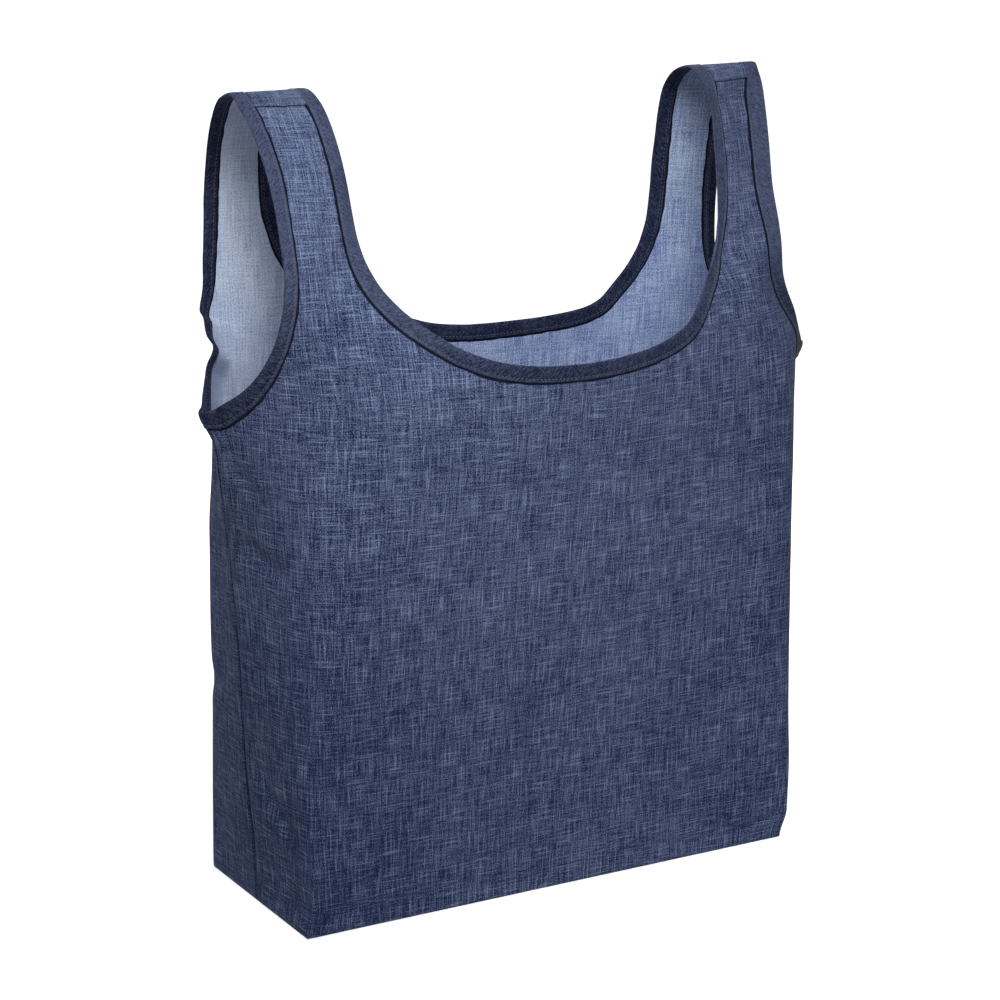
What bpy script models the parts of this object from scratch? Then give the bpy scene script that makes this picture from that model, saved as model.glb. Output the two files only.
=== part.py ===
# Shopping tote bag: one piece of printed cloth for the front and one for the
# back, each cut in one with half of both shoulder straps, and bias tape folded
# over every cut edge. Metres, +Z up, front towards -Y, underside at Z = 0.
import math
from bisect import bisect_right

import bmesh
import bpy
import numpy as np
from mathutils import Vector

# Driving sizes
WIDTH = 0.390
DEPTH = 0.152
STRAP_TOP = 0.5635
ARM_HEIGHT = 0.355
BASE_SEAM = 0.003
TAPE_WIDTH = 0.0097
CLOTH = 0.0006
TAPE = 0.0005
GAP = 0.0003
TAPE_GAP = 0.0010
LEFT_SPOUT = 0.0075
RIGHT_SPOUT = 0.0070

# Half of one panel's width, laid flat, from the centre line to the side seam
HALF = (WIDTH + DEPTH) / 2
CORNER = WIDTH / 2
FLOOR = DEPTH / 2
STRAP_INNER = 0.150

# Grid counts for half a panel
BODY_COLUMNS = 8
SIDE_COLUMNS = 5
BODY_ROWS = 9
STRAP_ROWS = 22

# Cross sections of the standing cloth. Each row: height along the cloth,
# standing height, depth at the centre line, then (side reach, depth) at
# STRAP_INNER, at CORNER and at the side seam, all in metres.
FRONT = [
    (0.000, 0.0000, FLOOR, (STRAP_INNER, FLOOR), (CORNER, FLOOR), (CORNER, -BASE_SEAM)),
    (0.060, 0.0600, 0.079, (0.150, 0.078), (0.196, 0.075), (0.199, -0.002)),
    (0.150, 0.1500, 0.085, (0.150, 0.081), (0.195, 0.073), (0.208, 0.004)),
    (0.250, 0.2500, 0.096, (0.149, 0.086), (0.194, 0.071), (0.216, -0.004)),
    (0.350, 0.3500, 0.109, (0.146, 0.087), (0.193, 0.066), (0.237, 0.010)),
    (0.384, 0.3840, 0.112, (0.147, 0.083), (0.192, 0.062), (0.239, 0.011)),
    (0.415, 0.4150, 0.110, (0.148, 0.073), (0.190, 0.058), (0.236, 0.014)),
    (0.445, 0.4450, 0.100, (0.147, 0.061), (0.191, 0.055), (0.240, 0.030)),
    (0.480, 0.4800, 0.000, (0.148, 0.053), (0.191, 0.044), (0.250, 0.048)),
    (0.511, 0.5100, -0.035, (0.149, 0.045), (0.192, 0.035), (0.262, 0.040)),
    (0.544, 0.5400, -0.025, (0.151, 0.033), (0.194, 0.021), (0.268, 0.022)),
    (0.566, 0.5570, -0.010, (0.152, 0.018), (0.196, 0.010), (0.271, -0.010)),
    (0.582, STRAP_TOP, 0.000, (0.152, 0.000), (0.197, 0.000), (0.272, 0.000)),
    (0.598, 0.5570, -0.016, (0.152, -0.016), (0.197, -0.016), (0.272, -0.016)),
]
BACK_LEFT = [
    (0.000, 0.0000, FLOOR, (STRAP_INNER, FLOOR), (CORNER, FLOOR), (CORNER, BASE_SEAM)),
    (0.060, 0.0600, 0.075, (0.150, 0.076), (0.196, 0.074), (0.199, 0.002)),
    (0.150, 0.1500, 0.070, (0.149, 0.075), (0.1955, 0.071), (0.208, -0.004)),
    (0.250, 0.2500, 0.063, (0.149, 0.072), (0.195, 0.067), (0.215, 0.004)),
    (0.350, 0.3500, 0.053, (0.148, 0.064), (0.190, 0.058), (0.237, -0.010)),
    (0.384, 0.3840, 0.049, (0.148, 0.057), (0.191, 0.057), (0.239, -0.011)),
    (0.415, 0.4150, 0.050, (0.147, 0.054), (0.192, 0.063), (0.237, 0.042)),
    (0.445, 0.4450, 0.050, (0.147, 0.055), (0.193, 0.068), (0.242, 0.070)),
    (0.480, 0.4800, 0.050, (0.149, 0.058), (0.192, 0.069), (0.250, 0.078)),
    (0.514, 0.5120, 0.050, (0.150, 0.056), (0.193, 0.060), (0.260, 0.060)),
    (0.548, 0.5420, 0.040, (0.151, 0.042), (0.195, 0.041), (0.268, 0.040)),
    (0.575, 0.5590, 0.020, (0.152, 0.019), (0.197, 0.018), (0.271, 0.017)),
    (0.595, STRAP_TOP, 0.000, (0.152, 0.000), (0.197, 0.000), (0.272, 0.000)),
    (0.612, 0.5570, -0.017, (0.152, -0.017), (0.197, -0.013), (0.272, -0.010)),
]
BACK_RIGHT = [
    (0.000, 0.0000, FLOOR, (STRAP_INNER, FLOOR), (CORNER, FLOOR), (CORNER, BASE_SEAM)),
    (0.060, 0.0600, 0.075, (0.150, 0.075), (0.196, 0.074), (0.199, 0.002)),
    (0.150, 0.1500, 0.070, (0.150, 0.070), (0.194, 0.067), (0.208, -0.004)),
    (0.250, 0.2500, 0.063, (0.150, 0.063), (0.192, 0.058), (0.216, 0.004)),
    (0.350, 0.3500, 0.053, (0.151, 0.052), (0.194, 0.043), (0.237, -0.010)),
    (0.384, 0.3840, 0.049, (0.152, 0.050), (0.193, 0.038), (0.239, -0.011)),
    (0.415, 0.4150, 0.050, (0.153, 0.051), (0.192, 0.035), (0.235, 0.016)),
    (0.445, 0.4450, 0.050, (0.153, 0.052), (0.194, 0.033), (0.241, 0.030)),
    (0.480, 0.4800, 0.050, (0.153, 0.051), (0.195, 0.031), (0.251, 0.028)),
    (0.512, 0.5120, 0.046, (0.154, 0.047), (0.196, 0.028), (0.261, 0.025)),
    (0.545, 0.5430, 0.038, (0.154, 0.038), (0.197, 0.023), (0.269, 0.020)),
    (0.566, 0.5590, 0.020, (0.153, 0.019), (0.197, 0.012), (0.271, 0.010)),
    (0.581, STRAP_TOP, 0.000, (0.152, 0.000), (0.197, 0.000), (0.272, 0.000)),
    (0.596, 0.5570, -0.014, (0.152, -0.014), (0.197, -0.014), (0.272, -0.012)),
]

# Cut edges on the flat cloth: (out from the centre line, up from the fold)
LEFT_NECK_CUT = [
    (0.000, 0.3840), (0.022, 0.3843), (0.042, 0.3858), (0.058, 0.3884), (0.069, 0.3912), (0.079, 0.3949),
    (0.089, 0.3995), (0.098, 0.4053), (0.111, 0.4148), (0.1245, 0.4270), (0.1365, 0.4430), (0.1428, 0.4600),
    (0.1452, 0.4760), (0.1465, 0.5000), (0.1475, 0.5300), (0.1485, 0.5600), (0.149, 0.5770),
]
RIGHT_NECK_CUT = [
    (0.000, 0.3840), (0.021, 0.3849), (0.037, 0.3862), (0.053, 0.3878), (0.064, 0.3896), (0.074, 0.3920),
    (0.084, 0.3954), (0.093, 0.4000), (0.100, 0.4060), (0.106, 0.4130), (0.112, 0.4200), (0.119, 0.4264),
    (0.127, 0.4334), (0.1345, 0.4425), (0.140, 0.4520), (0.1435, 0.4640), (0.1455, 0.4800),
    (0.1465, 0.5000), (0.1475, 0.5300), (0.1485, 0.5600), (0.149, 0.5770),
]
LEFT_BACK_NECK_CUT = [
    (0.000, 0.3824), (0.009, 0.3832), (0.018, 0.3842), (0.027, 0.3856), (0.035, 0.3874), (0.044, 0.3902),
    (0.055, 0.3941), (0.068, 0.3988), (0.082, 0.4038), (0.096, 0.4096), (0.109, 0.4160), (0.121, 0.4236),
    (0.1305, 0.4325), (0.1385, 0.4430), (0.1435, 0.4540), (0.1475, 0.4760), (0.1485, 0.5000),
    (0.149, 0.5300), (0.149, 0.5600), (0.149, 0.5770),
]
RIGHT_BACK_NECK_CUT = [
    (0.000, 0.3824), (0.025, 0.3818), (0.050, 0.3818), (0.074, 0.3828), (0.095, 0.3850), (0.109, 0.3900),
    (0.120, 0.4000), (0.134, 0.4150), (0.144, 0.4320), (0.1495, 0.4520), (0.151, 0.4760),
    (0.151, 0.5000), (0.1505, 0.5300), (0.1495, 0.5600), (0.149, 0.5770),
]
ARM_CUT = [
    (HALF, ARM_HEIGHT), (0.262, 0.3562), (0.253, 0.3612), (0.238, 0.3718), (0.222, 0.3886), (0.209, 0.4105),
    (0.201, 0.4345), (0.1985, 0.4565), (0.198, 0.4800), (0.1985, 0.5060), (0.2005, 0.5350),
    (0.203, 0.5600), (0.204, 0.5770),
]


def hermite(knots, values, at):
    """Smooth curve through the values, without overshoot between knots."""
    i = min(max(bisect_right(knots, at) - 1, 0), len(knots) - 2)
    k, v = np.asarray(knots), np.asarray(values, float)
    step = np.diff(k)
    slope = np.diff(v, axis=0) / step.reshape((-1,) + (1,) * (v.ndim - 1))
    tangent = np.empty_like(v)
    tangent[0], tangent[-1] = slope[0], slope[-1]
    same = slope[:-1] * slope[1:] > 0
    mean = 2 * slope[:-1] * slope[1:] / np.where(same, slope[:-1] + slope[1:], 1)
    tangent[1:-1] = np.where(same, mean, 0)
    t = (at - k[i]) / step[i]
    if t < 0:
        return v[0] + (at - k[0]) * tangent[0]
    if t > 1:
        return v[-1] + (at - k[-1]) * tangent[-1]
    t2, t3 = t * t, t * t * t
    return (
        (2 * t3 - 3 * t2 + 1) * v[i] + (t3 - 2 * t2 + t) * step[i] * tangent[i]
        + (3 * t2 - 2 * t3) * v[i + 1] + (t3 - t2) * step[i] * tangent[i + 1]
    )


def ease(low, high, at):
    t = min(max((at - low) / (high - low), 0), 1)
    return t * t * (3 - 2 * t)


class Side:
    """Half of a panel: turns a place on the flat cloth into a place in space."""

    def __init__(self, table, side, facing, neck, edge_out, edge_in, seam_out, seam_back, spout):
        self.side, self.facing, self.neck = side, facing, neck
        self.edge_out, self.edge_in = edge_out, edge_in
        self.seam_out, self.seam_back, self.spout = seam_out, seam_back, spout
        self.rows = [row[0] for row in table]
        self.values = [(row[1], row[2], *row[3], *row[4], *row[5]) for row in table]
        self.crest = self.rows[-2]

    def at(self, out, up):
        height, centre, x1, d1, x2, d2, x3, d3 = hermite(self.rows, self.values, up)
        x2 += self.edge_out * ease(0.0, 0.06, up) * (1 - ease(0.36, 0.42, up))
        d2 -= self.edge_in * ease(0.0, 0.12, up) * (1 - ease(0.30, 0.42, up))
        x3 += self.seam_out * ease(0.05, 0.30, up)
        d3 += self.facing * self.seam_back * ease(0.02, 0.12, up) * (1 - ease(0.26, 0.34, up))
        knots = [0, STRAP_INNER, CORNER, HALF]
        points = np.array([(0, centre), (x1, d1), (x2, d2), (x3, d3)])
        i = 0 if out < knots[1] else 1 if out < knots[2] else 2
        t = (out - knots[i]) / (knots[i + 1] - knots[i])
        straight = points[i] + t * (points[i + 1] - points[i])
        span = points[1:] - points[:-1]
        turn = [np.array([1.0, 0.0]) * (knots[1] - knots[0]), None, None, span[2]]
        for j in (1, 2):
            across = (points[j + 1] - points[j - 1]) / (knots[j + 1] - knots[j - 1])
            turn[j] = across
        turn[0] = np.array([points[1][0] / knots[1], 0.0])
        turn[3] = span[2] / (knots[3] - knots[2])
        step = knots[i + 1] - knots[i]
        t2, t3 = t * t, t * t * t
        curved = (
            (2 * t3 - 3 * t2 + 1) * points[i] + (t3 - 2 * t2 + t) * step * turn[i]
            + (3 * t2 - 2 * t3) * points[i + 1] + (t3 - t2) * step * turn[i + 1]
        )
        if t < 0 or t > 1:
            end = i if t < 0 else i + 1
            curved = points[end] + (out - knots[end]) * turn[end]
        soft = ease(0.0, 0.20, up)
        x, depth = straight + soft * (curved - straight)
        flare = self.spout * self.flare(out, up)
        return Vector((self.side * (x + flare), self.facing * depth, height + 0.3 * flare))

    def flare(self, out, up):
        """How far the rim stands out into a spout, 1 at the armhole's lowest point."""
        below, across = ARM_HEIGHT - up, HALF - out
        along = 0.87 * across - 0.49 * below
        inside = max(0.49 * across + 0.87 * below, 0)
        return math.exp(-((along / 0.038) ** 2) - (inside / 0.011) ** 2)

    def normal(self, out, up):
        """Away from the inside of the bag."""
        step = 0.001
        across = self.at(out + step, up) - self.at(out - step, up)
        along = self.at(out, up + step) - self.at(out, up - step)
        found = across.cross(along).normalized()
        return found * (-self.side * self.facing)


# How far each half's upright edge stands out and in from its table, and its seam
LEFT_FRONT = Side(FRONT, -1, -1, LEFT_NECK_CUT, -0.005, 0.002, -0.008, 0.008, LEFT_SPOUT)
RIGHT_FRONT = Side(FRONT, 1, -1, RIGHT_NECK_CUT, 0.006, 0.000, 0.005, 0.000, RIGHT_SPOUT)
LEFT_BACK = Side(BACK_LEFT, -1, 1, LEFT_BACK_NECK_CUT, 0.000, 0.000, -0.008, 0.008, LEFT_SPOUT)
RIGHT_BACK = Side(BACK_RIGHT, 1, 1, RIGHT_BACK_NECK_CUT, 0.002, 0.000, 0.005, 0.000, RIGHT_SPOUT)


def cut(points, side, share):
    """A place along a cut edge, 0 at its lowest point and 1 at the strap's crest."""
    last = points[-1][1]
    flat = [(x, y + (side.crest - last) * ease(0.48, last, y)) for x, y in points]
    reach = np.concatenate([[0], np.cumsum([math.dist(a, b) for a, b in zip(flat, flat[1:])])])
    return hermite(list(reach), flat, share * reach[-1])


def seam_gap(up):
    """Half the room left at a side seam, where the two panels meet edge to edge."""
    return GAP / 2 + 0.0004 * ease(0.0, 0.3, up)


def material(name, colour, roughness):
    made = bpy.data.materials.new(name)
    made.use_nodes = True
    shader = made.node_tree.nodes["Principled BSDF"]
    shader.inputs["Base Color"].default_value = (*colour, 1)
    shader.inputs["Roughness"].default_value = roughness
    shader.inputs["Metallic"].default_value = 0
    return made


def row_ends(side, row):
    """Both ends of one row across a half panel, on the flat cloth."""
    if row <= BODY_ROWS:
        share = 1 - (1 - row / BODY_ROWS) ** 1.6
        return (0.0, side.neck[0][1] * share), (HALF, ARM_CUT[0][1] * share)
    share = (row - BODY_ROWS) / STRAP_ROWS
    return cut(side.neck, side, share), cut(ARM_CUT, side, share)


def half_grid(mesh, side):
    """One half panel as a grid, columns from the centre line out to the seam."""
    columns, rows = BODY_COLUMNS + SIDE_COLUMNS, BODY_ROWS + STRAP_ROWS
    made = bmesh.ops.create_grid(mesh, x_segments=columns, y_segments=rows, size=0.5)["verts"]
    for vertex in made:
        j = round((vertex.co.x + 0.5) * columns)
        i = round((vertex.co.y + 0.5) * rows)
        (start, low), (end, high) = row_ends(side, i)
        spread = ease(0.6 * BODY_ROWS, BODY_ROWS + 0.3 * STRAP_ROWS, i)
        middle = CORNER + (start + (end - start) * BODY_COLUMNS / columns - CORNER) * spread
        if j <= BODY_COLUMNS:
            out = start + (middle - start) * j / BODY_COLUMNS
        else:
            out = middle + (end - middle) * (j - BODY_COLUMNS) / SIDE_COLUMNS
        place = side.at(out, low + (high - low) * (out - start) / (end - start))
        if j == columns and i <= BODY_ROWS:
            place.y += side.facing * seam_gap(high)
        if i == rows:
            place.y += side.facing * GAP / 2
        vertex.co = place


def base_grid(mesh, facing):
    """Half of the flat base, from the lower fold in to the seam under the middle."""
    made = bmesh.ops.create_grid(mesh, x_segments=2 * BODY_COLUMNS, y_segments=SIDE_COLUMNS, size=0.5)["verts"]
    for vertex in made:
        seam = facing * BASE_SEAM
        depth = seam + (DEPTH / 2 - seam) * (vertex.co.y + 0.5)
        if vertex.co.y < -0.49:
            depth += GAP / 2
        vertex.co = Vector((vertex.co.x * WIDTH, facing * depth, 0))


def panel(name, left, right, look):
    mesh = bmesh.new()
    for side in (left, right):
        half_grid(mesh, side)
    base_grid(mesh, left.facing)
    bmesh.ops.remove_doubles(mesh, verts=mesh.verts, dist=0.00005)
    for vertex in mesh.verts:
        vertex.co.z += CLOTH / 2
    bmesh.ops.recalc_face_normals(mesh, faces=mesh.faces)
    front = max(mesh.faces, key=lambda face: left.facing * face.calc_center_median().y)
    if front.normal.y * left.facing < 0:
        bmesh.ops.reverse_faces(mesh, faces=mesh.faces)
    data = bpy.data.meshes.new(name)
    mesh.to_mesh(data)
    mesh.free()
    made = bpy.data.objects.new(name, data)
    tote.objects.link(made)
    data.materials.append(look)
    data.shade_smooth()
    thick = made.modifiers.new("Cloth thickness", "SOLIDIFY")
    thick.thickness = CLOTH
    thick.offset = 0
    return made


def tape_section(side, edge, inward):
    """Five places round one folded tape: outer hem, outer face, both sides of the fold, inner hem."""
    out, up = edge
    rise = CLOTH / 2 + TAPE_GAP + TAPE / 2
    beyond = TAPE_GAP + TAPE / 2
    lift = Vector((0, 0, CLOTH / 2))
    found = []
    for reach in (TAPE_WIDTH, TAPE_WIDTH / 2, -beyond):
        x, y = out + inward[0] * reach, up + inward[1] * reach
        found.append((side.at(x, y) + lift, side.normal(x, y) * rise))
    outer = [place + away for place, away in found]
    inner = [place - away for place, away in (found[-1], found[0])]
    return outer + inner


def tape_run(side, points, turn):
    """Sections of tape from the lowest point of a cut edge to the crest of the strap."""
    run = []
    for share in np.linspace(0, 1, STRAP_ROWS + 1):
        edge = cut(points, side, share)
        ahead, behind = cut(points, side, min(share + 0.004, 1)), cut(points, side, max(share - 0.004, 0))
        along = (ahead - behind) / math.dist(ahead, behind)
        inward = (turn * along[1], -turn * along[0])
        if share == 0:
            inward = (0.0, -1.0)
        if share == 1:
            inward = (float(turn), 0.0)
        run.append(tape_section(side, edge, inward))
    return run


def tape_loop(name, runs, look):
    """One closed loop of folded tape through the sections in order."""
    sections = [section for run in runs for section in run]
    across = len(sections[0])
    mesh = bmesh.new()
    rings = [[mesh.verts.new(place) for place in section] for section in sections]
    for ring, following in zip(rings, rings[1:] + rings[:1]):
        for a in range(across - 1):
            mesh.faces.new((ring[a], following[a], following[a + 1], ring[a + 1]))
    bmesh.ops.recalc_face_normals(mesh, faces=mesh.faces)
    data = bpy.data.meshes.new(name)
    mesh.to_mesh(data)
    mesh.free()
    made = bpy.data.objects.new(name, data)
    tote.objects.link(made)
    data.materials.append(look)
    data.shade_smooth()
    thick = made.modifiers.new("Tape thickness", "SOLIDIFY")
    thick.thickness = TAPE
    thick.offset = 0
    return made


def meet(first, second):
    """The section halfway between two that share a place."""
    return [(a + b) / 2 for a, b in zip(first, second)]


def closed(up_one, down_two):
    """Two half loops, one up and one down, joined at the crest and at the bottom."""
    crest = meet(up_one[-1], down_two[-1])
    low = meet(up_one[0], down_two[0])
    return low, up_one[1:-1], crest, down_two[1:-1][::-1]


for item in list(bpy.data.objects):
    bpy.data.objects.remove(item, do_unlink=True)
tote = bpy.data.collections.new("tote_bag")
bpy.context.scene.collection.children.link(tote)

cloth_look = material("printed cloth", (0.045, 0.068, 0.135), 0.85)
back_look = material("printed cloth, back", (0.043, 0.065, 0.130), 0.85)
neck_look = material("neck tape", (0.030, 0.040, 0.068), 0.80)
left_look = material("left armhole tape", (0.029, 0.039, 0.066), 0.80)
right_look = material("right armhole tape", (0.028, 0.038, 0.064), 0.80)

# Front and back panels
panel("front_panel", LEFT_FRONT, RIGHT_FRONT, cloth_look)
panel("back_panel", LEFT_BACK, RIGHT_BACK, back_look)

# Tape round the neck: front left up to the crest, down the back and across
neck_runs = {
    side: tape_run(side, side.neck, 1)
    for side in (LEFT_FRONT, RIGHT_FRONT, LEFT_BACK, RIGHT_BACK)
}
front_low = meet(neck_runs[LEFT_FRONT][0], neck_runs[RIGHT_FRONT][0])
back_low = meet(neck_runs[LEFT_BACK][0], neck_runs[RIGHT_BACK][0])
left_crest = meet(neck_runs[LEFT_FRONT][-1], neck_runs[LEFT_BACK][-1])
right_crest = meet(neck_runs[RIGHT_FRONT][-1], neck_runs[RIGHT_BACK][-1])
tape_loop("neck_binding", [
    [front_low], neck_runs[LEFT_FRONT][1:-1], [left_crest], neck_runs[LEFT_BACK][1:-1][::-1],
    [back_low], neck_runs[RIGHT_BACK][1:-1], [right_crest], neck_runs[RIGHT_FRONT][1:-1][::-1],
], neck_look)

# Tape round each armhole, from the side seam up over the crest and back down
for name, front, back, look in (
    ("left_armhole_binding", LEFT_FRONT, LEFT_BACK, left_look),
    ("right_armhole_binding", RIGHT_FRONT, RIGHT_BACK, right_look),
):
    low, rising, crest, falling = closed(
        tape_run(front, ARM_CUT, -1), tape_run(back, ARM_CUT, -1)
    )
    outward = Vector((front.side, 0, 0))
    low = [place + outward * (0.0012 if n < 3 else -0.0012) for n, place in enumerate(low)]
    tape_loop(name, [[low], rising, [crest], falling], look)
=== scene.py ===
"""Shopping tote bag of thin printed cloth, standing open: its visual model.

Metres, +Z up, front towards -Y, underside at Z = 0.
"""

import math

import bpy
import numpy as np
from mathutils import Matrix, noise


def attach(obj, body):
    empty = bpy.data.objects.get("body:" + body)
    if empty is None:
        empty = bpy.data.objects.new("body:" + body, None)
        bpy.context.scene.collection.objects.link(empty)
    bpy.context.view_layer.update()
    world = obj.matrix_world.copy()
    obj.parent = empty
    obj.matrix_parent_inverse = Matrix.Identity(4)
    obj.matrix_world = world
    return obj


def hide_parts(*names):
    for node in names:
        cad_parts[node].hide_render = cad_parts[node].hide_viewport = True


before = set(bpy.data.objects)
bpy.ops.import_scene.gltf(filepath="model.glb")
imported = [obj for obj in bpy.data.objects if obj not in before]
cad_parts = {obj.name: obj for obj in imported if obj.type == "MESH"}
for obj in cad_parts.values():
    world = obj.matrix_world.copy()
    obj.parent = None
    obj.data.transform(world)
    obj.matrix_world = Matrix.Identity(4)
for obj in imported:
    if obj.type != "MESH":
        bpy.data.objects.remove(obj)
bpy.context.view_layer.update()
bpy.ops.object.select_all(action="DESELECT")


# Front cloth: one piece of thin polyester, cut with the front halves of both
# straps in one with it and folded under as half of the base. The blue print is
# on its outer face only, so the inside shows the pale reverse.
BAG_WIDTH = 0.390
BAG_DEPTH = 0.152
STRAP_TOP = 0.5635
ARMHOLE_HEIGHT = 0.355
BASE_SEAM = 0.003
# Each cloth's edge keeps this far off the seam's middle
SEAM_GAP = 0.00015
CLOTH = 0.0006
SIDE_SEAM = (BAG_WIDTH + BAG_DEPTH) / 2
CORNER = BAG_WIDTH / 2
FLOOR = BAG_DEPTH / 2
STRAP_INNER = 0.150
LEFT_SPOUT, RIGHT_SPOUT = 0.0075, 0.0070
FRONT_COLUMNS, SIDE_COLUMNS = 42, 24
BODY_ROWS, STRAP_ROWS = 96, 132

# Each row: height along the cloth, standing height, depth at the centre line,
# then (side reach, depth) at the strap's inner edge, the corner and the seam
FRONT_SHAPE = [
    (0.000, 0.0000, FLOOR, (STRAP_INNER, FLOOR), (CORNER, FLOOR), (CORNER, -BASE_SEAM)),
    (0.060, 0.0600, 0.079, (0.150, 0.078), (0.196, 0.075), (0.199, -0.002)),
    (0.150, 0.1500, 0.085, (0.150, 0.081), (0.195, 0.073), (0.208, 0.004)),
    (0.250, 0.2500, 0.096, (0.149, 0.086), (0.194, 0.071), (0.216, -0.004)),
    (0.350, 0.3500, 0.109, (0.146, 0.087), (0.193, 0.066), (0.237, 0.010)),
    (0.384, 0.3840, 0.112, (0.147, 0.083), (0.192, 0.062), (0.239, 0.011)),
    (0.415, 0.4150, 0.110, (0.148, 0.073), (0.190, 0.058), (0.236, 0.014)),
    (0.445, 0.4450, 0.100, (0.147, 0.061), (0.191, 0.055), (0.240, 0.030)),
    (0.480, 0.4800, 0.000, (0.148, 0.053), (0.191, 0.044), (0.250, 0.048)),
    (0.511, 0.5100, -0.035, (0.149, 0.045), (0.192, 0.035), (0.262, 0.040)),
    (0.544, 0.5400, -0.025, (0.151, 0.033), (0.194, 0.021), (0.268, 0.022)),
    (0.566, 0.5570, -0.010, (0.152, 0.018), (0.196, 0.010), (0.271, -0.010)),
    (0.582, STRAP_TOP, 0.000, (0.152, 0.000), (0.197, 0.000), (0.272, 0.000)),
    (0.598, 0.5570, -0.016, (0.152, -0.016), (0.197, -0.016), (0.272, -0.016)),
]
# Cut edges on the flat cloth: (out from the centre line, up from the fold)
LEFT_FRONT_NECK = [
    (0.000, 0.3840), (0.022, 0.3843), (0.042, 0.3858), (0.058, 0.3884), (0.069, 0.3912), (0.079, 0.3949),
    (0.089, 0.3995), (0.098, 0.4053), (0.111, 0.4148), (0.1245, 0.4270), (0.1365, 0.4430), (0.1428, 0.4600),
    (0.1452, 0.4760), (0.1465, 0.5000), (0.1475, 0.5300), (0.1485, 0.5600), (0.149, 0.5770),
]
RIGHT_FRONT_NECK = [
    (0.000, 0.3840), (0.021, 0.3849), (0.037, 0.3862), (0.053, 0.3878), (0.064, 0.3896), (0.074, 0.3920),
    (0.084, 0.3954), (0.093, 0.4000), (0.100, 0.4060), (0.106, 0.4130), (0.112, 0.4200), (0.119, 0.4264),
    (0.127, 0.4334), (0.1345, 0.4425), (0.140, 0.4520), (0.1435, 0.4640), (0.1455, 0.4800),
    (0.1465, 0.5000), (0.1475, 0.5300), (0.1485, 0.5600), (0.149, 0.5770),
]
ARMHOLE = [
    (SIDE_SEAM, ARMHOLE_HEIGHT), (0.262, 0.3562), (0.253, 0.3612), (0.238, 0.3718), (0.222, 0.3886),
    (0.209, 0.4105), (0.201, 0.4345), (0.1985, 0.4565), (0.198, 0.4800), (0.1985, 0.5060), (0.2005, 0.5350),
    (0.203, 0.5600), (0.204, 0.5770),
]
# Creases: (places on the flat cloth, right positive), height, reach down and up
FRONT_CREASES = [
    ([(-0.268, 0.262), (-0.240, 0.256), (-0.205, 0.243)], -0.0028, 0.006, 0.010),
    ([(-0.268, 0.115), (-0.245, 0.085), (-0.200, 0.052)], -0.0034, 0.006, 0.012),
    ([(-0.262, 0.345), (-0.256, 0.318), (-0.238, 0.300)], -0.0030, 0.007, 0.007),
    ([(0.186, 0.230), (0.178, 0.148), (0.172, 0.110), (0.166, 0.055)], -0.0018, 0.008, 0.010),
    ([(0.000, 0.380), (0.005, 0.340), (0.018, 0.296)], -0.0012, 0.009, 0.012),
    ([(0.262, 0.342), (0.240, 0.310), (0.215, 0.290)], -0.0025, 0.007, 0.009),
]


def ease(low, high, at):
    t = np.clip((np.asarray(at, float) - low) / (high - low), 0, 1)
    return t * t * (3 - 2 * t)


def through(knots, values, at):
    """Smooth curve through the values, without overshoot between knots."""
    k, v = np.asarray(knots, float), np.asarray(values, float)
    at = np.asarray(at, float)
    step = np.diff(k)[:, None]
    slope = np.diff(v, axis=0) / step
    same = slope[:-1] * slope[1:] > 0
    tangent = np.vstack([slope[:1], np.zeros_like(slope[1:]), slope[-1:]])
    tangent[1:-1] = np.where(same, 2 * slope[:-1] * slope[1:] / np.where(same, slope[:-1] + slope[1:], 1), 0)
    i = np.clip(np.searchsorted(k, at, side="right") - 1, 0, len(k) - 2)
    within = np.clip(at, k[0], k[-1])
    t = ((within - k[i]) / step[i, 0])[..., None]
    t2, t3 = t * t, t * t * t
    curve = (
        (2 * t3 - 3 * t2 + 1) * v[i] + (t3 - 2 * t2 + t) * step[i] * tangent[i]
        + (3 * t2 - 2 * t3) * v[i + 1] + (t3 - t2) * step[i] * tangent[i + 1]
    )
    past = (at - within)[..., None]
    return curve + past * np.where(past < 0, tangent[0], tangent[-1])


def unit(vectors):
    return vectors / np.linalg.norm(vectors, axis=-1, keepdims=True)


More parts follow.
